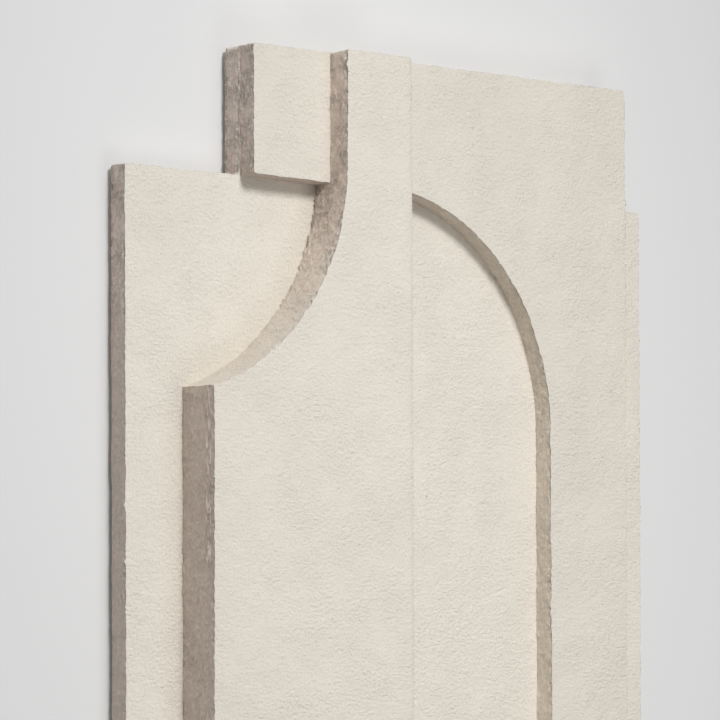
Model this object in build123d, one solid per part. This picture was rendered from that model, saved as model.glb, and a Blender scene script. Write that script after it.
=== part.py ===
from build123d import *
from math import acos, degrees
import os

# A wall relief of four paper-pulp boards, glued in layers, lying on its back.
# X runs across the relief, Y up it as it hangs, and Z out of its face.
# The origin is the middle of the back. All sizes are in millimetres.

# Overall size
WIDTH = 600.0
HEIGHT = 900.0

# Board thicknesses
BACK_THICKNESS = 19.0  # back board, seen as the two wings and the floor of the arch
FACE_THICKNESS = 19.0  # corner block and arch panel
NECK_THICKNESS = 42.0  # neck panel, which stands proud of the other two

# Raised land on the back, which holds the edges off the wall so that they throw a dark line
LAND_HEIGHT = 4.0
LAND_INSET = 12.0

# Back board
WING_DROP = 109.0  # from the top of the relief down to the top of the wings
LEFT_WING_WIDTH = 120.0  # from the left edge to the corner block
RIGHT_WING_WIDTH = 37.0  # from the arch panel to the right edge

# Corner block
BLOCK_WIDTH = 85.0
BLOCK_LAP = 2.5  # how far the block hangs below the top of the wings

# Neck panel
NECK_WIDTH = 75.0  # the narrow upper part
BODY_INSET = 60.0  # from the left edge of the relief to the wide lower part
SHOULDER_RADIUS = 203.0
SHOULDER_DROP = 97.0  # from the top of the relief down to the centre of the hollow shoulder

# Arch panel
ARCH_RADIUS = 203.0
SPRING_HEIGHT = 585.0  # from the foot of the relief up to the centre of the arch
JAMB_WIDTH = 98.0  # the strip to the right of the arch

# Edges, softened by the pulp
CORNER_RADIUS = 3.0  # corners of an outline
ARRIS_RADIUS = 2.0  # edges of a front face
BACK_ARRIS_RADIUS = 1.5  # edges of the back face, outside the land

# Blind holes in the back that hang the relief on two wall pins
HANGING_SPACING = 300.0
HANGING_DROP = 150.0  # from the top of the relief down to the holes
HANGING_RADIUS = 5.0
HANGING_DEPTH = 13.0

# Places that follow from the sizes
LEFT = -WIDTH / 2
RIGHT = WIDTH / 2
TOP = HEIGHT / 2
FOOT = -HEIGHT / 2
FACE_SEAT = LAND_HEIGHT + BACK_THICKNESS
WING_TOP = TOP - WING_DROP
BLOCK_LEFT = LEFT + LEFT_WING_WIDTH
NECK_LEFT = BLOCK_LEFT + BLOCK_WIDTH
NECK_RIGHT = NECK_LEFT + NECK_WIDTH
BODY_LEFT = LEFT + BODY_INSET
PANEL_RIGHT = RIGHT - RIGHT_WING_WIDTH
JAMB = PANEL_RIGHT - JAMB_WIDTH


def soften_corners(outline, corners):
    """Round the corners of an outline that lie at the given points."""
    chosen = [outline.vertices().sort_by_distance(corner)[0] for corner in corners]
    return fillet(chosen, CORNER_RADIUS)


def make_board(outline, seat, thickness):
    """Raise an outline into a board that is seated at Z = seat, and round its front edges."""
    board = extrude(Pos(0, 0, seat) * outline, thickness)
    front = board.faces().sort_by(Axis.Z)[-1]
    return fillet(front.edges(), ARRIS_RADIUS)


def make_back_board():
    """The full-width board behind the others, stepped in above the wings, with its land and holes."""
    corners = [
        (LEFT, FOOT),
        (RIGHT, FOOT),
        (RIGHT, WING_TOP),
        (PANEL_RIGHT, WING_TOP),
        (PANEL_RIGHT, TOP),
        (BLOCK_LEFT, TOP),
        (BLOCK_LEFT, WING_TOP),
        (LEFT, WING_TOP),
    ]
    outline = make_face(Polyline(*corners, close=True))
    board = make_board(soften_corners(outline, corners), LAND_HEIGHT, BACK_THICKNESS)
    back = board.faces().sort_by(Axis.Z)[0]
    board = fillet(back.edges(), BACK_ARRIS_RADIUS)
    board += extrude(offset(outline, -LAND_INSET, kind=Kind.INTERSECTION), LAND_HEIGHT)
    hole = Cylinder(HANGING_RADIUS, HANGING_DEPTH, align=(Align.CENTER, Align.CENTER, Align.MIN))
    for x in (-HANGING_SPACING / 2, HANGING_SPACING / 2):
        board -= Pos(x, TOP - HANGING_DROP, 0) * hole
    return board


def draw_neck():
    """Outline of the neck panel: a narrow neck that spreads through a hollow shoulder to a wide body."""
    centre = (NECK_LEFT - SHOULDER_RADIUS, TOP - SHOULDER_DROP)
    sweep = degrees(acos((BODY_LEFT - centre[0]) / SHOULDER_RADIUS))
    shoulder = CenterArc(centre, SHOULDER_RADIUS, 0, -sweep)
    corners = [
        shoulder @ 1,
        Vector(BODY_LEFT, FOOT),
        Vector(NECK_RIGHT, FOOT),
        Vector(NECK_RIGHT, TOP),
        Vector(NECK_LEFT, TOP),
    ]
    sides = Polyline(*corners, shoulder @ 0)
    return soften_corners(make_face(shoulder + sides), corners)


def make_neck_panel():
    """The thick board in the middle, glued to the back board."""
    return make_board(draw_neck(), FACE_SEAT, NECK_THICKNESS)


def make_corner_block():
    """The small board at the top left, flush with the step of the back board and fitted to the neck."""
    block_foot = WING_TOP - BLOCK_LAP
    free_corners = [(BLOCK_LEFT, TOP), (BLOCK_LEFT, block_foot)]
    joint_corners = [(NECK_LEFT, block_foot), (NECK_LEFT, TOP)]
    blank = make_face(Polyline(*free_corners, *joint_corners, close=True))
    outline = soften_corners(blank, free_corners) - draw_neck()
    return make_board(outline, FACE_SEAT, FACE_THICKNESS)


def make_arch_panel():
    """The right-hand board, cut away under a round arch that runs out behind the neck panel."""
    centre = (JAMB - ARCH_RADIUS, FOOT + SPRING_HEIGHT)
    sweep = degrees(acos((NECK_RIGHT - centre[0]) / ARCH_RADIUS))
    arch = CenterArc(centre, ARCH_RADIUS, 0, sweep)
    free_corners = [Vector(PANEL_RIGHT, TOP), Vector(PANEL_RIGHT, FOOT), Vector(JAMB, FOOT)]
    sides = Polyline(arch @ 1, (NECK_RIGHT, TOP), *free_corners, arch @ 0)
    outline = make_face(arch + sides)
    return make_board(soften_corners(outline, free_corners), FACE_SEAT, FACE_THICKNESS)


def main():
    """Build each board and write it to a file of its own."""
    boards = {
        "back_board": make_back_board(),
        "corner_block": make_corner_block(),
        "neck_panel": make_neck_panel(),
        "arch_panel": make_arch_panel(),
    }
    os.makedirs("parts", exist_ok=True)
    for name, board in boards.items():
        export_step(board, f"parts/{name}.step")


if __name__ == "__main__":
    main()
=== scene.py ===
"""A wall relief of four paper-pulp boards, glued in layers and lying on its back on a pale floor."""

import math
from typing import NamedTuple

import bmesh
import bpy
from bpy.props import FloatProperty, FloatVectorProperty, PointerProperty
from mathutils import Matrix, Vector
from mathutils.bvhtree import BVHTree
from mathutils.geometry import tessellate_polygon
from mathutils.kdtree import KDTree


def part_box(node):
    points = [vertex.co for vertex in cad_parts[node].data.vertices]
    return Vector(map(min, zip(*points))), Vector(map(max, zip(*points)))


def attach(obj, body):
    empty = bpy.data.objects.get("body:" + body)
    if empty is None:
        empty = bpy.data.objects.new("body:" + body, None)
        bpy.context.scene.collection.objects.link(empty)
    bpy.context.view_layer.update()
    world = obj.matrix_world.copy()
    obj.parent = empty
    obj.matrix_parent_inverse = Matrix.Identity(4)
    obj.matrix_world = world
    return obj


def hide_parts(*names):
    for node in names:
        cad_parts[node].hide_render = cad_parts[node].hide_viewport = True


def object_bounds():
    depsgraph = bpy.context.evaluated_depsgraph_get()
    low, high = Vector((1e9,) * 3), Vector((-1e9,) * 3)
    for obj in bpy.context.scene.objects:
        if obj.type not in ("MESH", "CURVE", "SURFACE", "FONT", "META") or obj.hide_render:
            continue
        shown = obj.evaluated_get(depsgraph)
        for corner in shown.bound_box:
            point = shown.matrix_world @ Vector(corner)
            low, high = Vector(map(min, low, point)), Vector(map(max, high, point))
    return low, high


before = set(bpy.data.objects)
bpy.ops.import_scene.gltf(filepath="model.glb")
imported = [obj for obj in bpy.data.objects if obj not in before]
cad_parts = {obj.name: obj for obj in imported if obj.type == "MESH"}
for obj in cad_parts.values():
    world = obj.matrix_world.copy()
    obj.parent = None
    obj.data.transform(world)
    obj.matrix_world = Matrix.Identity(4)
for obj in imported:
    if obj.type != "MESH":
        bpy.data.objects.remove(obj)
CAD_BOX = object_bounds()

bl_info = {
    "name": "Pulp Wall Relief",
    "version": (1, 0, 0),
    "blender": (4, 5, 0),
    "location": "3D View > Sidebar > Relief",
    "description": "Models the boards of a layered paper-pulp relief, with its floor, light and camera",
    "category": "Add Mesh",
}

# The frame: where each board lies, in metres, with Y up the relief and Z out of its face
BODY = "root"
BACK_LOW, BACK_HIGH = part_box("back_board")
BLOCK_LOW, BLOCK_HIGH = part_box("corner_block")
NECK_LOW, NECK_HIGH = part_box("neck_panel")
ARCH_LOW, ARCH_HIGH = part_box("arch_panel")

# How finely a board is modelled
SIDE_STEP = 0.0015  # between the points along and up a board's sides
FACE_STEP = 0.004  # between the points of a front face
LONGEST_STEP = 1.5  # an edge of more steps than this is cut
MOST_CUTS = 100  # the most cuts that one subdivision makes
NEARLY_SAME = 0.99  # two lengths with a larger ratio than this count as the same
CORNER_SEGMENTS = 4  # in a rounded corner of an outline
ARRIS_ROWS = 3  # of faces in a rounded arris
RIM_SHARE = 0.25  # the width of the flat rim inside an arris, beside the radius of the arris
HOLE_POINTS = 48  # round a hanging hole
SMOOTH_ANGLE = math.radians(60)  # edges that turn by less than this are shaded smooth
SLACK = 1e-5  # the room for rounding when a point is found by its place


class Dents(NamedTuple):
    """Dents that a surface is sunk by."""

    size: float  # across one of them
    contrast: float


# How uneven a board is
WAVES = Dents(size=0.03, contrast=1.6)
SIDE_LUMPS = Dents(size=0.009, contrast=1.8)
SIDE_CRUMBS = Dents(size=0.0038, contrast=1.8)
CHIPS = Dents(size=0.0035, contrast=2.5)
RAGS = Dents(size=0.003, contrast=2.2)
SWELLS = Dents(size=0.02, contrast=1.2)
DENT_DETAIL = 2  # how many times smaller dents lie in larger ones
MID_LEVEL = 0.62  # the height of a lump, out of 1, that stays where it is: higher ones stand out a little
SIDE_TURN = 0.3  # how far a surface has turned from lying flat where it counts as a side
EVEN_SHARE = 0.15  # how uneven glued edges and the land are, beside free sides
ARRIS_BAND = 0.002  # the height below a front face in which its edge is chipped
FOOT_BAND = 0.003  # the height above a board's seat in which its foot is ragged
TORN_LOW = 0.16  # the places up the relief between which the sides become fully torn
TORN_HIGH = 0.28
TORN_LEAST = 0.3  # how torn the sides are below that


class Noise(NamedTuple):
    """An irregular pattern."""

    size: float  # across one of its lumps
    detail: float
    roughness: float


class Specks(NamedTuple):
    """Scattered round specks."""

    spacing: float
    radius: float
    share: float  # of the places for a speck that have one


class Ridge(NamedTuple):
    """A broken ridge of raised, lighter flakes along a board's sides; on the seam under the corner block that
    lightness is painted highlight.
    """

    level: float  # its height above the floor
    width: float  # from its middle to where it has faded
    low: float  # the places up the relief where it starts and ends
    high: float


# Patterns of the pressed faces
GRAIN = Noise(size=0.0026, detail=3, roughness=0.6)
PATCHES = Noise(size=0.05, detail=2, roughness=0.5)
LUMPS = Noise(size=0.009, detail=2, roughness=0.5)
SWELL = Noise(size=0.045, detail=1, roughness=0.5)
MOTTLE = Noise(size=0.07, detail=3, roughness=0.6)
PITS = Specks(spacing=0.014, radius=0.0012, share=0.35)
NICKS = Specks(spacing=0.011, radius=0.0009, share=0.4)
FLECKS = Specks(spacing=0.019, radius=0.0012, share=0.35)
STROKE_SCALE = (0.35, 1, 1)  # draws the strokes out along X
STROKE_TURN = math.radians(8)
NICK_SCALE = (0.45, 1, 1)
NICK_TURN = math.radians(25)

# Patterns of the torn sides
ZONES = Noise(size=0.02, detail=2, roughness=0.5)
FIBRES = Noise(size=0.0022, detail=3, roughness=0.65)
TEARS = Noise(size=0.0026, detail=3, roughness=0.65)
CRUMBS = Noise(size=0.0026, detail=4, roughness=0.7)
STRANDS = Noise(size=0.0016, detail=3, roughness=0.7)
GRIT = Specks(spacing=0.005, radius=0.0012, share=0.4)
FIBRE_SCALE = (0.2, 0.2, 1)  # these draw a pattern out along the sides
TEAR_SCALE = (0.45, 0.45, 1)
STRAND_SCALE = (0.12, 0.12, 1)
CRUMB_HEIGHT = 2.4  # in millimetres
TEAR_HEIGHT = 3.6
SEAM = Ridge(level=BLOCK_LOW.z + 0.0008, width=0.002, low=0.365, high=0.425)  # under the corner block, made lighter as painted highlight where it stands out
FLAKES = Ridge(level=NECK_HIGH.z - 0.0075, width=0.005, low=0.02, high=0.15)  # on the side of the body
RIDGE_FADE = 0.02  # the length in which a ridge dies out
RIDGE_BREAKS = (0.46, 0.52)  # the strands, from weak to strong, between which a ridge appears

# Where the finish of the sides shows, by the part of a surface's normal along one axis
SIDE_FACING = (0.3, 0.85)  # along Z, from the sides to the faces
RUBBED_SHEEN_FACING = (0.1, 0.82)  # along Y, from torn sides to those that face the head: worn smoother there, and painted lighter and less warm as a sheen from the lamp at the head
RUBBED_SHEEN_LEAST = 0.25  # the share of the sides' finish that is left there
UNDERSIDE_SHADE_FACING = (-0.8, -0.1)  # along Y, from sides that face down, painted darker as shade and less torn, to the others
UNDERSIDE_SHADE_LEAST = 0.25  # how torn the sides that face down are, and how much of the lightening towards the head they keep, which paints shade on them

# Shading
PULP_SPECULAR = 0.15
BUMP_UNIT = 0.001  # the heights of the pulp's patterns are in millimetres
MIX_FIRST, MIX_SECOND = 6, 7  # a mix node's sockets for two colours
MIX_RESULT = 2  # and for the mixed colour

# Stage
FLOOR_SIZE = 20
FLOOR_GAP = 0.0002  # keeps the floor clear of the relief's back
FLOOR_ROUGHNESS = 0.9
FLOOR_SPECULAR = 0.1
FLOOR_NEAR = 0.62  # from the origin to where the floor starts to fade into the backdrop
FLOOR_FAR = 1.15  # and to where it has faded
FULL_SPREAD = math.pi
SENSOR_WIDTH = 36  # in millimetres


class ReliefSizes(bpy.types.PropertyGroup):
    """Sizes of the boards that the frame's boxes don't give."""

    wing_drop: FloatProperty(
        name="Wing Drop", description="From the top of the relief down to the top of the wings",
        default=0.109, unit="LENGTH",
    )
    out_of_square: FloatProperty(
        name="Out of Square", description="How far a short hand-cut edge falls from left to right",
        default=0.0015, unit="LENGTH",
    )
    lean: FloatProperty(
        name="Lean", description="How far the long outer edges lean in from head to foot",
        default=0.0025, unit="LENGTH",
    )
    shoulder_radius: FloatProperty(
        name="Shoulder Radius", description="Radius of the hollow shoulder of the neck panel",
        default=0.203, unit="LENGTH",
    )
    shoulder_drop: FloatProperty(
        name="Shoulder Drop", description="From the top of the relief to the centre of the shoulder",
        default=0.097, unit="LENGTH",
    )
    neck_width: FloatProperty(
        name="Neck Width", description="Width of the narrow upper part of the neck panel",
        default=0.075, unit="LENGTH",
    )
    arch_radius: FloatProperty(
        name="Arch Radius", description="Radius of the arch",
        default=0.203, unit="LENGTH",
    )
    spring_height: FloatProperty(
        name="Spring Height", description="From the foot of the relief up to the centre of the arch",
        default=0.585, unit="LENGTH",
    )
    jamb_width: FloatProperty(
        name="Jamb Width", description="Width of the strip to the right of the arch",
        default=0.0988, unit="LENGTH",
    )
    land_height: FloatProperty(
        name="Land Height", description="Height of the raised land on the back",
        default=0.004, unit="LENGTH",
    )
    land_inset: FloatProperty(
        name="Land Inset", description="From the edge of the back board to the land",
        default=0.012, unit="LENGTH",
    )
    hole_spacing: FloatProperty(
        name="Hole Spacing", description="Between the two hanging holes in the back",
        default=0.3, unit="LENGTH",
    )
    hole_drop: FloatProperty(
        name="Hole Drop", description="From the top of the relief down to the hanging holes",
        default=0.15, unit="LENGTH",
    )
    hole_radius: FloatProperty(
        name="Hole Radius", description="Radius of a hanging hole",
        default=0.005, unit="LENGTH",
    )
    hole_depth: FloatProperty(
        name="Hole Depth", description="Depth of a hanging hole",
        default=0.013, unit="LENGTH",
    )
    corner_radius: FloatProperty(
        name="Corner Radius", description="Radius of the corners of an outline",
        default=0.003, unit="LENGTH",
    )
    worn_radius: FloatProperty(
        name="Worn Radius", description="Radius of the worn top left corner of the back board",
        default=0.006, unit="LENGTH",
    )
    neck_worn_radius: FloatProperty(
        name="Neck Worn Radius", description="Radius of the worn top right corner of the neck panel",
        default=0.0042, unit="LENGTH",
    )
    eased_width: FloatProperty(
        name="Eased Width", description="How far in the neck panel's face is eased from its right-hand edge",
        default=0.003, unit="LENGTH",
    )
    arris_radius: FloatProperty(
        name="Arris Radius", description="Radius of the edges of a front face",
        default=0.001, unit="LENGTH",
    )
    back_arris_radius: FloatProperty(
        name="Back Arris Radius", description="Radius of the edges of the back, outside the land",
        default=0.001, unit="LENGTH",
    )
    joint_gap: FloatProperty(
        name="Joint Gap", description="The crack between two boards that meet edge to edge",
        default=0.0002, unit="LENGTH",
    )
    bedding: FloatProperty(
        name="Bedding", description="How deep the corner block is bedded into the wet boards beside it",
        default=0.0015, unit="LENGTH",
    )
    seam_ledge: FloatProperty(
        name="Seam Ledge", description="How far the back board stands out beyond the corner block on it",
        default=0.0008, unit="LENGTH",
    )


class ReliefPulp(bpy.types.PropertyGroup):
    """Finish of the pulp: its colours, and how uneven it is."""

    face_colour: FloatVectorProperty(
        name="Face Colour", description="Colour of the pressed faces",
        default=(0.76, 0.71, 0.63), subtype="COLOR", min=0, max=1,
    )
    side_colour: FloatVectorProperty(
        name="Side Colour", description="Colour of the torn sides",
        default=(0.785, 0.67, 0.588), subtype="COLOR", min=0, max=1,
    )
    # painted bounce light: the side colour tinted olive for the light that the recess floor throws onto the
    # sides under the arch
    recess_bounce_colour: FloatVectorProperty(
        name="Recess Colour", description="Colour of the sides under the arch",
        default=(0.775, 0.69, 0.588), subtype="COLOR", min=0, max=1,
    )
    back_finish: FloatVectorProperty(
        name="Back Finish", description="Back board: lightness of faces and sides, wear, ragged foot",
        default=(1.04, 0.9, 0.9, 0.9), size=4,
    )
    block_finish: FloatVectorProperty(
        name="Block Finish", description="Corner block: lightness of faces and sides, wear, ragged foot",
        default=(1.0, 0.87, 1.2, 0.0), size=4,
    )
    neck_finish: FloatVectorProperty(
        name="Neck Finish", description="Neck panel: lightness of faces and sides, wear, ragged foot",
        default=(1.01, 0.99, 1.2, 1.2), size=4,
    )
    # the sides' lightness of 1.04, above the other boards', is painted bounce light on the sides under the
    # arch
    arch_finish: FloatVectorProperty(
        name="Arch Finish", description="Arch panel: lightness of faces and sides, wear, ragged foot",
        default=(0.99, 1.04, 1.2, 0.4), size=4,
    )
    wave_depth: FloatProperty(
        name="Wave Depth", description="Depth of the long waves in the sides",
        default=0.0014, unit="LENGTH",
    )
    lump_depth: FloatProperty(
        name="Lump Depth", description="Depth of the lumps and chips in the sides",
        default=0.0005, unit="LENGTH",
    )
    crumb_depth: FloatProperty(
        name="Crumb Depth", description="Depth of the small crumbs in the sides",
        default=0.0008, unit="LENGTH",
    )
    chip_depth: FloatProperty(
        name="Chip Depth", description="Depth of the small chips along the edges of the faces",
        default=0.0018, unit="LENGTH",
    )
    foot_depth: FloatProperty(
        name="Foot Depth", description="How ragged the feet of the sides are",
        default=0.003, unit="LENGTH",
    )
    swell_depth: FloatProperty(
        name="Swell Depth", description="Depth of the gentle swells in the faces",
        default=0.0005, unit="LENGTH",
    )


class ReliefStage(bpy.types.PropertyGroup):
    """Floor, light and camera."""

    floor_colour: FloatVectorProperty(
        name="Floor Colour", description="Colour of the floor",
        default=(0.79, 0.79, 0.79), subtype="COLOR", min=0, max=1,
    )
    backdrop: FloatProperty(
        name="Backdrop", description="How light the far floor and the backdrop are beside the floor's colour",
        default=0.9,
    )
    ambient: FloatProperty(
        name="Ambient", description="Strength of the light from all round",
        default=0.245,
    )
    key_power: FloatProperty(
        name="Key Power", description="Power of the main lamp",
        default=15.0, unit="POWER",
    )
    lamp_size: FloatProperty(
        name="Lamp Size", description="Width and height of a lamp",
        default=0.6, unit="LENGTH",
    )
    key_place: FloatVectorProperty(
        name="Key Place", description="Where the main lamp hangs",
        default=(-0.35, 1.4, 1.72), subtype="TRANSLATION", unit="LENGTH",
    )
    key_aim: FloatVectorProperty(
        name="Key Aim", description="The point that the main lamp faces",
        default=(0.38, -0.9, 0.0), subtype="TRANSLATION", unit="LENGTH",
    )
    key_spread: FloatProperty(
        name="Key Spread", description="How widely the main lamp throws its light",
        default=math.radians(110), subtype="ANGLE",
    )
    fill_power: FloatProperty(
        name="Fill Power", description="Power of the low lamp that softens the shadows",
        default=2.6, unit="POWER",
    )
    fill_place: FloatVectorProperty(
        name="Fill Place", description="Where the low lamp hangs",
        default=(0.0, -0.35, 1.1), subtype="TRANSLATION", unit="LENGTH",
    )
    fill_aim: FloatVectorProperty(
        name="Fill Aim", description="The point that the low lamp faces",
        default=(0.05, 0.0, 0.0), subtype="TRANSLATION", unit="LENGTH",
    )
    camera_place: FloatVectorProperty(
        name="Camera Place", description="Where the camera stands",
        default=(-1.9792, -0.0093, 2.2547), subtype="TRANSLATION", unit="LENGTH",
    )
    camera_turn: FloatVectorProperty(
        name="Camera Turn", description="The camera's pitch, turn and roll",
        default=(math.radians(2.669), math.radians(-40.907), math.radians(-0.179)), subtype="EULER",
    )
    camera_lens: FloatProperty(
        name="Camera Lens", description="Focal length on a 36 mm sensor, in millimetres",
        default=171.08,
    )
    camera_rise: FloatProperty(
        name="Camera Rise", description="Upward shift of the lens, as a share of the picture",
        default=0.0972,
    )


# Modelling by hand

def pick(kind, test):
    """Select the vertices, edges or faces of the piece being edited that pass a test, and nothing else."""
    bpy.ops.mesh.select_mode(type=kind)
    bpy.ops.mesh.select_all(action="DESELECT")
    mesh = bpy.context.object.data
    form = bmesh.from_edit_mesh(mesh)
    elements = {"VERT": form.verts, "EDGE": form.edges, "FACE": form.faces}[kind]
    for element in elements:
        if test(element):
            element.select_set(True)
    form.select_flush_mode()
    bmesh.update_edit_mesh(mesh)


def picked_point():
    """Place of the one selected vertex, the loose end of an outline."""
    form = bmesh.from_edit_mesh(bpy.context.object.data)
    return next(vertex.co.copy() for vertex in form.verts if vertex.select)


def start_outline(name, point):
    """Begin a piece as a single point, in edit mode."""
    bpy.ops.object.select_all(action="DESELECT")
    bpy.ops.mesh.primitive_plane_add(size=SIDE_STEP, location=point)
    piece = bpy.context.object
    piece.name = name
    piece.data.name = name
    bpy.ops.object.transform_apply(location=True, rotation=True, scale=True)
    bpy.ops.object.mode_set(mode="EDIT")
    bpy.ops.mesh.select_mode(type="VERT")
    bpy.ops.mesh.select_all(action="SELECT")
    bpy.ops.mesh.merge(type="CENTER")
    return piece


def line_to(*points):
    """Draw straight lines from the loose end of the outline through the points."""
    for point in points:
        move = Vector(point) - picked_point()
        bpy.ops.mesh.extrude_vertices_move(TRANSFORM_OT_translate={"value": move})


def arc_round(centre, angle):
    """Draw an arc round a centre from the loose end of the outline, anticlockwise for a positive angle."""
    radius = (picked_point() - centre).length
    steps = round(radius * abs(angle) / SIDE_STEP)
    bpy.ops.mesh.spin(steps=steps, angle=-angle, center=centre, axis=(0, 0, 1))


def round_corners(corners, radius):
    """Round the corners of a filled outline that lie at the given points."""
    pick("VERT", lambda vertex: any((vertex.co - Vector(corner)).length < SLACK for corner in corners))
    bpy.ops.mesh.bevel(offset=radius, segments=CORNER_SEGMENTS, affect="VERTICES", clamp_overlap=False)


def close_outline():
    """Join the ends of an outline and fill it."""
    bpy.ops.mesh.select_all(action="SELECT")
    bpy.ops.mesh.remove_doubles(threshold=SLACK)
    bpy.ops.mesh.edge_face_add()


def divide_outline(step):
    """Cut the straight runs of an outline into short, even steps, and fill it again."""
    pick("FACE", lambda face: True)
    bpy.ops.mesh.delete(type="ONLY_FACE")
    form = bmesh.from_edit_mesh(bpy.context.object.data)
    longest = max(edge.calc_length() for edge in form.edges)
    while longest > LONGEST_STEP * step:
        cuts = min(MOST_CUTS, math.ceil(longest / step) - 1)
        pick("EDGE", lambda edge: edge.calc_length() > longest * NEARLY_SAME)
        bpy.ops.mesh.subdivide(number_cuts=cuts)
        form = bmesh.from_edit_mesh(bpy.context.object.data)
        longest = max(edge.calc_length() for edge in form.edges)
    bpy.ops.mesh.select_all(action="SELECT")
    bpy.ops.mesh.edge_face_add()


def raise_sides(height):
    """Pull the filled outline up into a board, in rows of small faces."""
    rows = round(height / SIDE_STEP)
    for _ in range(rows):
        bpy.ops.mesh.extrude_region_move(TRANSFORM_OT_translate={"value": (0, 0, height / rows)})


def face_outwards():
    """Turn every face of the piece outwards."""
    bpy.ops.mesh.select_all(action="SELECT")
    bpy.ops.mesh.normals_make_consistent(inside=False)


def pick_end(way):
    """Select the front face of a board, or its back face where way is -1."""
    form = bmesh.from_edit_mesh(bpy.context.object.data)
    end = max(way * vertex.co.z for vertex in form.verts)
    pick("FACE", lambda face: all(abs(way * vertex.co.z - end) < SLACK for vertex in face.verts))


def round_arris(radius):
    """Raise the selected face with a rounded edge, leaving a narrow flat rim inside it."""
    for row in range(ARRIS_ROWS):
        start = math.pi / 2 * row / ARRIS_ROWS
        end = math.pi / 2 * (row + 1) / ARRIS_ROWS
        inwards = radius * (math.cos(start) - math.cos(end))
        upwards = radius * (math.sin(end) - math.sin(start))
        bpy.ops.mesh.inset(thickness=inwards, depth=upwards)
    bpy.ops.mesh.inset(thickness=radius * RIM_SHARE)


def lay_face(step):
    """Replace the selected front face by an even grid, joined to the arris by a narrow band."""
    mesh = bpy.context.object.data
    form = bmesh.from_edit_mesh(mesh)
    face = next(face for face in form.faces if face.select)
    rim = [vertex.co.copy() for vertex in face.verts]
    surface = BVHTree.FromPolygons(rim, tessellate_polygon([rim]))
    nearest = KDTree(len(rim))
    for index, point in enumerate(rim):
        nearest.insert(point, index)
    nearest.balance()
    low = Vector(min(point[axis] for point in rim) for axis in range(3))
    high = Vector(max(point[axis] for point in rim) for axis in range(3))
    span = max(high - low)
    above = Vector((0, 0, 1))

    def outside(vertex):
        if not vertex.select:
            return False
        if surface.ray_cast(vertex.co + above, -above)[0] is None:
            return True
        return nearest.find(vertex.co)[2] < step

    bpy.ops.mesh.delete(type="ONLY_FACE")
    cells = round(span / step)
    bpy.ops.mesh.primitive_grid_add(
        x_subdivisions=cells, y_subdivisions=cells, size=span, location=(low + high) / 2,
    )
    form = bmesh.from_edit_mesh(mesh)
    stray = {vertex for vertex in form.verts if outside(vertex)}
    pick("VERT", lambda vertex: vertex in stray)
    bpy.ops.mesh.delete(type="VERT")
    pick("EDGE", lambda edge: edge.is_boundary)
    bpy.ops.mesh.fill(use_beauty=True)
    bpy.ops.mesh.select_all(action="SELECT")
    bpy.ops.mesh.delete_loose()
    face_outwards()


def build_board(seat, top, sizes):
    """Turn the outline being edited into a board with dense sides and a gridded face, and select its back."""
    divide_outline(SIDE_STEP)
    raise_sides(top - seat - sizes.arris_radius)
    face_outwards()
    pick_end(1)
    round_arris(sizes.arris_radius)
    lay_face(FACE_STEP)
    pick_end(-1)


# Making a board uneven

def weigh(piece, name, weight_of):
    """Add a vertex group whose weights come from each vertex's place and normal."""
    group = piece.vertex_groups.new(name=name)
    for vertex in piece.data.vertices:
        weight = weight_of(vertex.co, vertex.normal)
        if weight > 0:
            group.add([vertex.index], weight, "REPLACE")


def sink(piece, group, dents, depth, noise):
    """Sink the surface unevenly along its normals, by up to a depth. High places stand out a little."""
    texture = bpy.data.textures.new(f"{piece.name}_{group}", "CLOUDS")
    texture.noise_basis = noise
    texture.noise_scale = dents.size
    texture.noise_depth = DENT_DETAIL
    texture.contrast = dents.contrast
    bpy.ops.object.modifier_add(type="DISPLACE")
    modifier = piece.modifiers[-1]
    modifier.texture = texture
    modifier.texture_coords = "LOCAL"
    modifier.vertex_group = group
    modifier.mid_level = MID_LEVEL
    modifier.strength = depth
    bpy.ops.object.modifier_apply(modifier=modifier.name)


def trim(piece):
    """Trim what stands out of the relief's box."""
    low, high = CAD_BOX
    for vertex in piece.data.vertices:
        for axis in range(3):
            vertex.co[axis] = min(max(vertex.co[axis], low[axis]), high[axis])


def make_uneven(piece, pulp, finish, noise, seat, stays_even):
    """Give a board wavy, chipped sides, apart from the places that stay even, and gently swollen faces."""
    *_, ragged = finish
    top = max(vertex.co.z for vertex in piece.data.vertices)

    def side_weight(place, normal):
        weight = min(1, (1 - abs(normal.z)) / SIDE_TURN)
        return weight * EVEN_SHARE if stays_even(place) else weight

    def face_weight(place, normal):
        return 1 if place.z > top - SLACK else 0

    def arris_weight(place, normal):
        return side_weight(place, normal) if top - ARRIS_BAND < place.z < top - SLACK else 0

    def foot_weight(place, normal):
        if not seat - SLACK < place.z < seat + FOOT_BAND:
            return 0
        rise = (place.y - TORN_LOW) / (TORN_HIGH - TORN_LOW)
        torn = TORN_LEAST + (1 - TORN_LEAST) * min(max(rise, 0), 1)
        return side_weight(place, normal) * torn * ragged

    weigh(piece, "sides", side_weight)
    weigh(piece, "face", face_weight)
    weigh(piece, "arris", arris_weight)
    weigh(piece, "foot", foot_weight)
    sink(piece, "sides", WAVES, pulp.wave_depth, noise)
    sink(piece, "sides", SIDE_LUMPS, pulp.lump_depth, noise)
    sink(piece, "sides", SIDE_CRUMBS, pulp.crumb_depth, noise)
    sink(piece, "arris", CHIPS, pulp.chip_depth, noise)
    sink(piece, "foot", RAGS, pulp.foot_depth, noise)
    sink(piece, "face", SWELLS, pulp.swell_depth, noise)
    trim(piece)


def close_back():
    """Fill the open back of a board, once its sides are uneven."""
    bpy.ops.object.mode_set(mode="EDIT")
    pick("EDGE", lambda edge: edge.is_boundary)
    bpy.ops.mesh.edge_face_add()
    face_outwards()
    bpy.ops.object.mode_set(mode="OBJECT")


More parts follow.
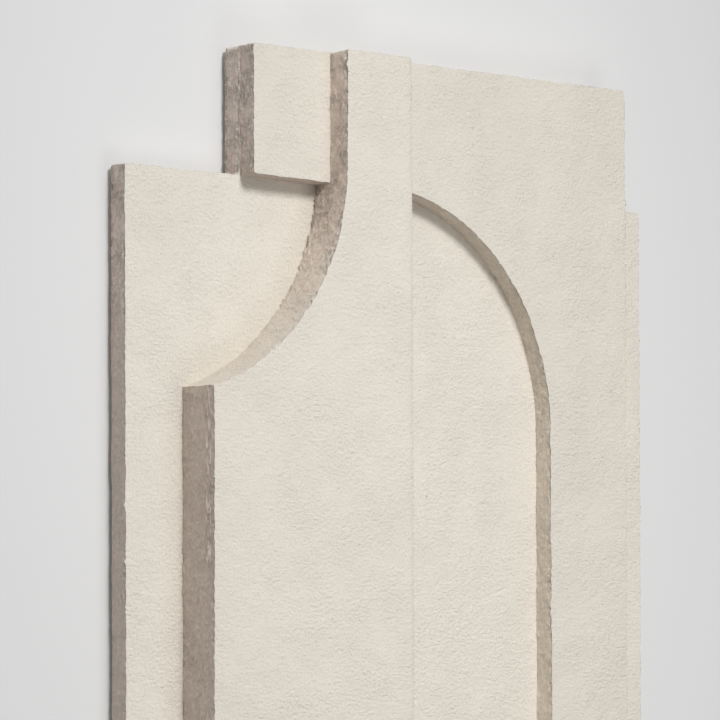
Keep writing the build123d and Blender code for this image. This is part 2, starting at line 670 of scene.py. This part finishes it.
def finish_board(piece, node, pulp, finish, side_colour, ridge=None):
    """Shade a finished board, give it its finish and let it stand for its node of the frame."""
    bpy.ops.object.shade_smooth_by_angle(angle=SMOOTH_ANGLE)
    piece.data.materials.clear()
    piece.data.materials.append(make_pulp(piece.name, pulp, finish, side_colour, ridge))
    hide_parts(node)
    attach(piece, BODY)


# The pulp's finish

def add_node(tree, kind, settings=None, links=None):
    """Add a shader node, set its fixed sockets by name or number, and link the others."""
    node = tree.nodes.new(kind)
    for socket, value in (settings or {}).items():
        node.inputs[socket].default_value = value
    for socket, source in (links or {}).items():
        tree.links.new(source, node.inputs[socket])
    return node


def add_math(tree, operation, first, second):
    """Add a maths node. Each operand is a number or the output of another node."""
    node = tree.nodes.new("ShaderNodeMath")
    node.operation = operation
    for socket, operand in enumerate((first, second)):
        if isinstance(operand, (int, float)):
            node.inputs[socket].default_value = operand
        else:
            tree.links.new(operand, node.inputs[socket])
    return node.outputs["Value"]


def add_sum(tree, *terms):
    """Add up the outputs of nodes, each times its own number."""
    total = 0
    for output, share in terms:
        total = add_math(tree, "ADD", total, add_math(tree, "MULTIPLY", output, share))
    return total


def add_product(tree, *outputs):
    """Multiply the outputs of nodes."""
    product = outputs[0]
    for output in outputs[1:]:
        product = add_math(tree, "MULTIPLY", product, output)
    return product


def add_stretch(tree, place, scale, turn=0):
    """Scale and turn the place that a pattern is read at, which draws the pattern out."""
    settings = {"Rotation": (0, 0, turn), "Scale": scale}
    return add_node(tree, "ShaderNodeMapping", settings, {"Vector": place}).outputs["Vector"]


def add_noise(tree, place, noise):
    """Add an irregular pattern, from 0 to 1."""
    settings = {"Scale": 1 / noise.size, "Detail": noise.detail, "Roughness": noise.roughness}
    return add_node(tree, "ShaderNodeTexNoise", settings, {"Vector": place}).outputs["Fac"]


def add_range(tree, value, source, target):
    """Add a smooth step that carries a value from one range to another."""
    node = add_node(
        tree, "ShaderNodeMapRange",
        {"From Min": source[0], "From Max": source[1], "To Min": target[0], "To Max": target[1]},
        {"Value": value},
    )
    node.interpolation_type = "SMOOTHSTEP"
    return node.outputs["Result"]


def add_specks(tree, place, specks):
    """Add scattered round specks: 1 in the middle of a speck, and 0 between them."""
    cells = add_node(tree, "ShaderNodeTexVoronoi", {"Scale": 1 / specks.spacing}, {"Vector": place})
    chance = add_node(tree, "ShaderNodeSeparateColor", links={"Color": cells.outputs["Color"]})
    chosen = add_math(tree, "LESS_THAN", chance.outputs["Red"], specks.share)
    dot = add_range(tree, cells.outputs["Distance"], (0, specks.radius / specks.spacing), (1, 0))
    return add_product(tree, dot, chosen)


def add_shade(tree, colour, factor):
    """Darken or lighten a colour by a factor."""
    scale = tree.nodes.new("ShaderNodeVectorMath")
    scale.operation = "SCALE"
    tree.links.new(colour, scale.inputs[0])
    tree.links.new(factor, scale.inputs["Scale"])
    return scale.outputs["Vector"]


def add_ridge(tree, place, axes, ridge):
    """Add a ridge along the sides, broken into strands."""
    distance = add_math(tree, "ABSOLUTE", add_math(tree, "SUBTRACT", axes["Z"], ridge.level), 0)
    band = add_range(tree, distance, (ridge.width / 2, ridge.width), (1, 0))
    rise = add_range(tree, axes["Y"], (ridge.low - RIDGE_FADE, ridge.low), (0, 1))
    fall = add_range(tree, axes["Y"], (ridge.high, ridge.high + RIDGE_FADE), (1, 0))
    strands = add_noise(tree, add_stretch(tree, place, STRAND_SCALE), STRANDS)
    broken = add_range(tree, strands, RIDGE_BREAKS, (0, 1))
    return add_product(tree, band, rise, fall, broken)


def add_seen(tree):
    """Add a switch that is 1 for what the camera sees, straight or in a reflection, and 0 for light."""
    path = tree.nodes.new("ShaderNodeLightPath")
    seen = add_math(tree, "MAXIMUM", path.outputs["Is Camera Ray"], path.outputs["Is Glossy Ray"])
    return add_math(tree, "MAXIMUM", seen, path.outputs["Is Transmission Ray"])


def add_face_relief(tree, place):
    """Add the relief of the pressed faces: its height in millimetres, and its grain, lumps and marks."""
    grain = add_noise(tree, place, GRAIN)
    strokes = add_noise(tree, add_stretch(tree, place, STROKE_SCALE, STROKE_TURN), GRAIN)
    patches = add_range(tree, add_noise(tree, place, PATCHES), (0.38, 0.62), (0.8, 1.2))
    texture = add_product(tree, add_sum(tree, (grain, 0.9), (strokes, 0.45)), patches)
    lumps = add_noise(tree, place, LUMPS)
    swell = add_noise(tree, place, SWELL)
    pits = add_specks(tree, place, PITS)
    nicks = add_specks(tree, add_stretch(tree, place, NICK_SCALE, NICK_TURN), NICKS)
    flecks = add_specks(tree, place, FLECKS)
    height = add_sum(
        tree, (texture, 1.35), (lumps, 0.75), (swell, 0.8), (pits, -0.5), (nicks, -0.4), (flecks, 0.35),
    )
    return height, grain, lumps, add_math(tree, "MAXIMUM", pits, nicks)


def add_side_relief(tree, place, axes, upper, torn, ridge):
    """Add the relief of the sides: its height in millimetres, and how light it is, with painted light and
    shade on the crumbs, painted shade where they face down and painted highlight on the seam ridge.
    """
    fibres = add_noise(tree, add_stretch(tree, place, FIBRE_SCALE), FIBRES)
    tears = add_noise(tree, add_stretch(tree, place, TEAR_SCALE), TEARS)
    crumbs = add_noise(tree, place, CRUMBS)
    grit = add_product(tree, add_specks(tree, place, GRIT), torn)
    middle = (CRUMB_HEIGHT + TEAR_HEIGHT) / 2
    scraped = add_math(
        tree, "SUBTRACT", add_sum(tree, (crumbs, CRUMB_HEIGHT), (tears, TEAR_HEIGHT)), middle,
    )
    rough = add_product(tree, scraped, torn)
    flakes = add_ridge(tree, place, axes, ridge) if ridge else 0
    height = add_sum(tree, (fibres, 1), (rough, 1), (grit, 0.9), (flakes, 1.8))
    streaks = add_range(tree, fibres, (0.3, 0.65), (0.79, 0.87))
    # painted light and shade: the torn sides are lighter on their raised crumbs and darker in their low tears
    crumb_painted_light_and_shade = add_product(tree, add_range(tree, scraped, (-0.4, 0.8), (-0.09, 0.28)), torn)
    # painted highlight: the flakes of the seam under the corner block are made lighter where the ridge stands
    # out
    lightness = add_sum(tree, (streaks, 1), (upper, 0.2), (crumb_painted_light_and_shade, 1), (grit, 0.25), (flakes, 0.45))
    return height, lightness


def make_pulp(name, pulp, finish, side_colour, ridge):
    """Matt paper pulp: pressed faces with a fine orange-peel grain, and torn, fibrous sides."""
    face_tone, side_tone, wear, _ = finish
    material = bpy.data.materials.new(name)
    material.use_nodes = True
    tree = material.node_tree
    shader = tree.nodes["Principled BSDF"]
    shader.inputs["Specular IOR Level"].default_value = PULP_SPECULAR
    coordinates = tree.nodes.new("ShaderNodeTexCoord")
    place = coordinates.outputs["Object"]
    axes = add_node(tree, "ShaderNodeSeparateXYZ", links={"Vector": place}).outputs
    normal = coordinates.outputs["Normal"]
    facing = add_node(tree, "ShaderNodeSeparateXYZ", links={"Vector": normal}).outputs

    # Where the sides are, and where the faces, with a mix of both where a side faces the head: worn smoother
    # there, and painted lighter with the face colour as a sheen
    level = add_math(tree, "ABSOLUTE", facing["Z"], 0)
    # painted sheen: sides that face the head, towards the key lamp, take the lighter, less warm face colour,
    # as well as the smoother face relief
    rubbed_and_painted_sheen = add_range(tree, facing["Y"], RUBBED_SHEEN_FACING, (1, RUBBED_SHEEN_LEAST))
    side = add_product(tree, add_range(tree, level, SIDE_FACING, (1, 0)), rubbed_and_painted_sheen)
    face = add_math(tree, "SUBTRACT", 1, side)

    # How torn the sides are: more towards the head and in some zones, and less where they face down, where
    # the sides are also painted darker as shade
    # painted shade: sides that face down are made darker through the lightness towards the head, and less
    # torn
    less_torn_and_painted_shade_below = add_range(tree, facing["Y"], UNDERSIDE_SHADE_FACING, (UNDERSIDE_SHADE_LEAST, 1))
    upper = add_range(tree, axes["Y"], (TORN_LOW, TORN_HIGH), (TORN_LEAST, 1))
    upper = add_product(tree, upper, less_torn_and_painted_shade_below)
    zones = add_range(tree, add_noise(tree, place, ZONES), (0.35, 0.65), (0.4 * wear, 1.4 * wear))
    torn = add_product(tree, upper, zones)

    # Relief
    face_height, grain, lumps, marks = add_face_relief(tree, place)
    side_height, side_lightness = add_side_relief(tree, place, axes, upper, torn, ridge)
    height = add_math(tree, "ADD", add_product(tree, face_height, face), add_product(tree, side_height, side))
    bump = add_node(tree, "ShaderNodeBump", {"Strength": 1, "Distance": BUMP_UNIT}, {"Height": height})
    tree.links.new(bump.outputs["Normal"], shader.inputs["Normal"])

    # Colour: two pulps, mottled, painted darker as shade in the hollows of the grain, darker in the marks,
    # and on the sides their lightness, which holds painted light and shade
    blend = tree.nodes.new("ShaderNodeMix")
    blend.data_type = "RGBA"
    blend.inputs[MIX_FIRST].default_value = (*(face_tone * part for part in pulp.face_colour), 1)
    blend.inputs[MIX_SECOND].default_value = (*(side_tone * part for part in side_colour), 1)
    tree.links.new(side, blend.inputs["Factor"])
    mottle = add_range(tree, add_noise(tree, place, MOTTLE), (0.25, 0.75), (0.975, 1.02))
    # painted shade: the colour is darker where the grain of the face is low
    hollow = add_range(tree, grain, (0.25, 0.6), (0.95, 1.01))
    spot = add_range(tree, marks, (0, 1), (1, 0.82))
    shade = add_math(tree, "ADD", face, add_product(tree, side, side_lightness))
    colour = blend.outputs[MIX_RESULT]
    for factor in (mottle, hollow, spot, shade):
        colour = add_shade(tree, colour, factor)
    tree.links.new(colour, shader.inputs["Base Color"])

    # Roughness: matt, a little smoother in the hollows between the lumps
    sheen = add_range(tree, lumps, (0.3, 0.7), (0.84, 0.95))
    tree.links.new(sheen, shader.inputs["Roughness"])
    return material


# Boards

class RELIEF_OT_back_board(bpy.types.Operator):
    """Model the full-width board behind the others, with its raised land and hanging holes"""

    bl_idname = "relief.back_board"
    bl_label = "Back Board"

    def execute(self, context):
        sizes = context.scene.relief_sizes
        pulp = context.scene.relief_pulp
        wing_top = BACK_HIGH.y - sizes.wing_drop
        low_wing_top = wing_top - sizes.out_of_square
        seat = BACK_LOW.z + sizes.land_height + sizes.back_arris_radius
        worn = (BLOCK_LOW.x, BACK_HIGH.y, seat)
        corners = [
            (BACK_LOW.x + sizes.lean, BACK_LOW.y, seat),
            (BACK_HIGH.x - sizes.lean, BACK_LOW.y, seat),
            (BACK_HIGH.x, wing_top, seat),
            (ARCH_HIGH.x, wing_top, seat),
            (ARCH_HIGH.x, BACK_HIGH.y, seat),
            worn,
            (BLOCK_LOW.x, low_wing_top, seat),
            (BACK_LOW.x, wing_top, seat),
        ]
        piece = start_outline("back_board_pulp", corners[0])
        line_to(*corners[1:], corners[0])
        close_outline()
        round_corners([corner for corner in corners if corner != worn], sizes.corner_radius)
        round_corners([worn], sizes.worn_radius)
        build_board(seat, BACK_HIGH.z, sizes)
        round_arris(sizes.back_arris_radius)
        bpy.ops.object.mode_set(mode="OBJECT")
        self.add_land(piece, sizes, wing_top)
        self.drill_holes(piece, sizes)
        make_uneven(
            piece, pulp, pulp.back_finish, "ORIGINAL_PERLIN", seat,
            lambda place: place.z < BACK_LOW.z + sizes.land_height - SLACK,
        )
        finish_board(piece, "back_board", pulp, pulp.back_finish, pulp.side_colour)
        return {"FINISHED"}

    def add_land(self, piece, sizes, wing_top):
        """Join the raised land to the back."""
        inset = sizes.land_inset
        floor = BACK_LOW.z
        corners = [
            (BACK_LOW.x + inset, BACK_LOW.y + inset, floor),
            (BACK_HIGH.x - inset, BACK_LOW.y + inset, floor),
            (BACK_HIGH.x - inset, wing_top - inset, floor),
            (ARCH_HIGH.x - inset, wing_top - inset, floor),
            (ARCH_HIGH.x - inset, BACK_HIGH.y - inset, floor),
            (BLOCK_LOW.x + inset, BACK_HIGH.y - inset, floor),
            (BLOCK_LOW.x + inset, wing_top - inset, floor),
            (BACK_LOW.x + inset, wing_top - inset, floor),
        ]
        land = start_outline("land", corners[0])
        line_to(*corners[1:], corners[0])
        close_outline()
        raise_sides(2 * sizes.land_height)
        face_outwards()
        bpy.ops.object.mode_set(mode="OBJECT")
        self.combine(piece, land, "UNION")

    def drill_holes(self, piece, sizes):
        """Drill the two blind hanging holes."""
        for side in (-1, 1):
            place = Vector((side * sizes.hole_spacing / 2, BACK_HIGH.y - sizes.hole_drop, BACK_LOW.z))
            bpy.ops.object.select_all(action="DESELECT")
            bpy.ops.mesh.primitive_cylinder_add(
                vertices=HOLE_POINTS, radius=sizes.hole_radius, depth=2 * sizes.hole_depth, location=place,
            )
            self.combine(piece, bpy.context.object, "DIFFERENCE")

    def combine(self, piece, other, operation):
        """Join another shape to the board or cut it out, and remove it."""
        bpy.ops.object.select_all(action="DESELECT")
        bpy.context.view_layer.objects.active = piece
        piece.select_set(True)
        bpy.ops.object.modifier_add(type="BOOLEAN")
        modifier = piece.modifiers[-1]
        modifier.operation = operation
        modifier.object = other
        modifier.solver = "EXACT"
        bpy.ops.object.modifier_apply(modifier=modifier.name)
        bpy.data.objects.remove(other)


class RELIEF_OT_corner_block(bpy.types.Operator):
    """Model the small block at the top left, laid on the step of the back board"""

    bl_idname = "relief.corner_block"
    bl_label = "Corner Block"

    def execute(self, context):
        sizes = context.scene.relief_sizes
        pulp = context.scene.relief_pulp
        left = BLOCK_LOW.x + sizes.seam_ledge
        right = NECK_HIGH.x - sizes.neck_width + sizes.bedding
        seat = BLOCK_LOW.z - sizes.bedding
        corners = [
            (left, BLOCK_LOW.y, seat),
            (right, BLOCK_LOW.y - sizes.out_of_square, seat),
            (right, BLOCK_HIGH.y, seat),
            (left, BLOCK_HIGH.y, seat),
        ]
        piece = start_outline("corner_block_pulp", corners[0])
        line_to(*corners[1:], corners[0])
        close_outline()
        round_corners([corner for corner in corners if corner[0] == left], sizes.corner_radius)
        build_board(seat, BLOCK_HIGH.z, sizes)
        bpy.ops.mesh.delete(type="ONLY_FACE")
        bpy.ops.object.mode_set(mode="OBJECT")
        make_uneven(
            piece, pulp, pulp.block_finish, "IMPROVED_PERLIN", seat,
            lambda place: place.x > right - 2 * sizes.bedding,
        )
        close_back()
        finish_board(piece, "corner_block", pulp, pulp.block_finish, pulp.side_colour, SEAM)
        return {"FINISHED"}


class RELIEF_OT_neck_panel(bpy.types.Operator):
    """Model the thick panel whose narrow neck spreads through a hollow shoulder to a wide body"""

    bl_idname = "relief.neck_panel"
    bl_label = "Neck Panel"

    def execute(self, context):
        sizes = context.scene.relief_sizes
        pulp = context.scene.relief_pulp
        seat = NECK_LOW.z
        neck_left = NECK_HIGH.x - sizes.neck_width
        centre = Vector((neck_left - sizes.shoulder_radius, NECK_HIGH.y - sizes.shoulder_drop, seat))
        sweep = math.acos((NECK_LOW.x - centre.x) / sizes.shoulder_radius)
        worn = Vector((NECK_HIGH.x, NECK_HIGH.y, seat))
        square_corners = [
            Vector((NECK_LOW.x, NECK_LOW.y, seat)),
            Vector((NECK_HIGH.x, NECK_LOW.y, seat)),
            worn,
            Vector((neck_left, NECK_HIGH.y, seat)),
        ]
        start = centre + Vector((sizes.shoulder_radius, 0, 0))
        piece = start_outline("neck_panel_pulp", start)
        arc_round(centre, -sweep)
        line_to(*square_corners, start)
        close_outline()
        round_corners([corner for corner in square_corners if corner != worn], sizes.corner_radius)
        round_corners([worn], sizes.neck_worn_radius)
        build_board(seat, NECK_HIGH.z, sizes)
        self.ease_edge(sizes)
        pick_end(-1)
        bpy.ops.mesh.delete(type="ONLY_FACE")
        bpy.ops.object.mode_set(mode="OBJECT")
        glued_right = NECK_HIGH.x - SIDE_STEP
        make_uneven(
            piece, pulp, pulp.neck_finish, "BLENDER_ORIGINAL", seat, lambda place: place.x > glued_right,
        )
        close_back()
        finish_board(piece, "neck_panel", pulp, pulp.neck_finish, pulp.side_colour, FLAKES)
        return {"FINISHED"}

    def ease_edge(self, sizes):
        """Press the right-hand edge of the front face down a little."""
        front = NECK_HIGH.z - sizes.arris_radius - SLACK
        edge = NECK_HIGH.x - sizes.arris_radius
        pick("VERT", lambda vertex: vertex.co.z > front and vertex.co.x > edge)
        bpy.ops.transform.translate(
            value=(0, 0, -sizes.arris_radius), use_proportional_edit=True,
            proportional_edit_falloff="SHARP", proportional_size=sizes.eased_width,
        )


class RELIEF_OT_arch_panel(bpy.types.Operator):
    """Model the right-hand panel, cut away under a round arch"""

    bl_idname = "relief.arch_panel"
    bl_label = "Arch Panel"

    def execute(self, context):
        sizes = context.scene.relief_sizes
        pulp = context.scene.relief_pulp
        seat = ARCH_LOW.z
        left = ARCH_LOW.x + sizes.joint_gap
        jamb = ARCH_HIGH.x - sizes.jamb_width
        centre = Vector((jamb - sizes.arch_radius, ARCH_LOW.y + sizes.spring_height, seat))
        sweep = math.acos((left - centre.x) / sizes.arch_radius)
        square_corners = [
            Vector((left, ARCH_HIGH.y, seat)),
            Vector((ARCH_HIGH.x, ARCH_HIGH.y, seat)),
            Vector((ARCH_HIGH.x - sizes.lean, ARCH_LOW.y, seat)),
            Vector((jamb, ARCH_LOW.y, seat)),
        ]
        start = centre + Vector((sizes.arch_radius, 0, 0))
        piece = start_outline("arch_panel_pulp", start)
        arc_round(centre, sweep)
        line_to(*square_corners, start)
        close_outline()
        round_corners(square_corners[1:], sizes.corner_radius)
        build_board(seat, ARCH_HIGH.z, sizes)
        bpy.ops.mesh.delete(type="ONLY_FACE")
        bpy.ops.object.mode_set(mode="OBJECT")
        make_uneven(
            piece, pulp, pulp.arch_finish, "BLENDER_ORIGINAL", seat,
            lambda place: place.x < left + SIDE_STEP,
        )
        close_back()
        # The sides under the arch take the recess colour, tinted as painted bounce light
        finish_board(piece, "arch_panel", pulp, pulp.arch_finish, pulp.recess_bounce_colour)
        return {"FINISHED"}


# Stage

class RELIEF_OT_stage(bpy.types.Operator):
    """Lay the floor and set up the light and the camera"""

    bl_idname = "relief.stage"
    bl_label = "Stage"

    def execute(self, context):
        stage = context.scene.relief_stage
        self.lay_floor(stage)
        self.light_room(context, stage)
        self.hang_lamp(
            "key", stage.key_place, stage.key_aim, stage.lamp_size, stage.key_power, stage.key_spread,
        )
        self.hang_lamp(
            "fill", stage.fill_place, stage.fill_aim, stage.lamp_size, stage.fill_power, FULL_SPREAD,
        )
        self.place_camera(context, stage)
        context.scene.view_settings.view_transform = "Standard"
        return {"FINISHED"}

    def lay_floor(self, stage):
        """A plain pale floor."""
        bpy.ops.object.select_all(action="DESELECT")
        bpy.ops.mesh.primitive_plane_add(size=FLOOR_SIZE, location=(0, 0, -FLOOR_GAP))
        floor = bpy.context.object
        floor.name = "floor"
        bpy.ops.object.transform_apply(location=True, rotation=True, scale=True)
        material = bpy.data.materials.new("pale_floor")
        material.use_nodes = True
        shader = material.node_tree.nodes["Principled BSDF"]
        shader.inputs["Base Color"].default_value = (*stage.floor_colour, 1)
        shader.inputs["Roughness"].default_value = FLOOR_ROUGHNESS
        shader.inputs["Specular IOR Level"].default_value = FLOOR_SPECULAR
        self.keep_pale(material.node_tree, stage)
        floor.data.materials.append(material)

    def keep_pale(self, tree, stage):
        """Fade the far floor, beyond the lamps, into the backdrop."""
        coordinates = tree.nodes.new("ShaderNodeTexCoord")
        reach = tree.nodes.new("ShaderNodeVectorMath")
        reach.operation = "LENGTH"
        tree.links.new(coordinates.outputs["Object"], reach.inputs[0])
        far = add_range(tree, reach.outputs["Value"], (FLOOR_NEAR, FLOOR_FAR), (0, 1))
        pale = add_node(
            tree, "ShaderNodeEmission", {"Color": (*stage.floor_colour, 1), "Strength": stage.backdrop},
        )
        mix = add_node(
            tree, "ShaderNodeMixShader",
            links={
                0: add_math(tree, "MULTIPLY", far, add_seen(tree)),
                1: tree.nodes["Principled BSDF"].outputs["BSDF"],
                2: pale.outputs["Emission"],
            },
        )
        tree.links.new(mix.outputs["Shader"], tree.nodes["Material Output"].inputs["Surface"])

    def light_room(self, context, stage):
        """Even light from all round, and a pale backdrop for the camera."""
        world = bpy.data.worlds.new("room")
        context.scene.world = world
        world.use_nodes = True
        tree = world.node_tree
        ambient = tree.nodes["Background"]
        ambient.inputs["Color"].default_value = (1, 1, 1, 1)
        ambient.inputs["Strength"].default_value = stage.ambient
        backdrop = add_node(
            tree, "ShaderNodeBackground", {"Color": (*stage.floor_colour, 1), "Strength": stage.backdrop},
        )
        mix = add_node(
            tree, "ShaderNodeMixShader",
            links={0: add_seen(tree), 1: ambient.outputs["Background"], 2: backdrop.outputs["Background"]},
        )
        tree.links.new(mix.outputs["Shader"], tree.nodes["World Output"].inputs["Surface"])

    def hang_lamp(self, name, place, aim, size, power, spread):
        """A square lamp at a place, facing a point."""
        turn = (Vector(aim) - Vector(place)).to_track_quat("-Z", "Y")
        bpy.ops.object.light_add(type="AREA", location=place, rotation=turn.to_euler())
        bpy.context.object.name = name
        lamp = bpy.context.object.data
        lamp.shape = "SQUARE"
        lamp.size = size
        lamp.energy = power
        lamp.spread = spread

    def place_camera(self, context, stage):
        """A long lens, to the left of the relief and above it."""
        bpy.ops.object.camera_add(location=stage.camera_place)
        camera = bpy.context.object
        camera.rotation_mode = "ZXY"
        camera.rotation_euler = stage.camera_turn
        camera.data.lens = stage.camera_lens
        camera.data.sensor_width = SENSOR_WIDTH
        camera.data.shift_y = stage.camera_rise
        context.scene.camera = camera


class RELIEF_PT_panel(bpy.types.Panel):
    """Lists the boards, the stage and what a user may change"""

    bl_idname = "RELIEF_PT_panel"
    bl_label = "Pulp Wall Relief"
    bl_space_type = "VIEW_3D"
    bl_region_type = "UI"
    bl_category = "Relief"

    def draw(self, context):
        layout = self.layout
        for operator in OPERATORS:
            layout.operator(operator.bl_idname)
        for group in (context.scene.relief_sizes, context.scene.relief_pulp, context.scene.relief_stage):
            column = layout.column()
            for name in group.bl_rna.properties.keys():
                if name not in ("rna_type", "name"):
                    column.prop(group, name)


GROUPS = {"relief_sizes": ReliefSizes, "relief_pulp": ReliefPulp, "relief_stage": ReliefStage}
OPERATORS = (
    RELIEF_OT_back_board,
    RELIEF_OT_corner_block,
    RELIEF_OT_neck_panel,
    RELIEF_OT_arch_panel,
    RELIEF_OT_stage,
)


def register():
    for name, group in GROUPS.items():
        bpy.utils.register_class(group)
        setattr(bpy.types.Scene, name, PointerProperty(type=group))
    for operator in OPERATORS:
        bpy.utils.register_class(operator)
    bpy.utils.register_class(RELIEF_PT_panel)


def unregister():
    bpy.utils.unregister_class(RELIEF_PT_panel)
    for operator in reversed(OPERATORS):
        bpy.utils.unregister_class(operator)
    for name, group in GROUPS.items():
        delattr(bpy.types.Scene, name)
        bpy.utils.unregister_class(group)


def main():
    """Build the relief and its stage."""
    register()
    bpy.ops.relief.back_board()
    bpy.ops.relief.corner_block()
    bpy.ops.relief.neck_panel()
    bpy.ops.relief.arch_panel()
    bpy.ops.relief.stage()


if __name__ == "__main__":
    main()
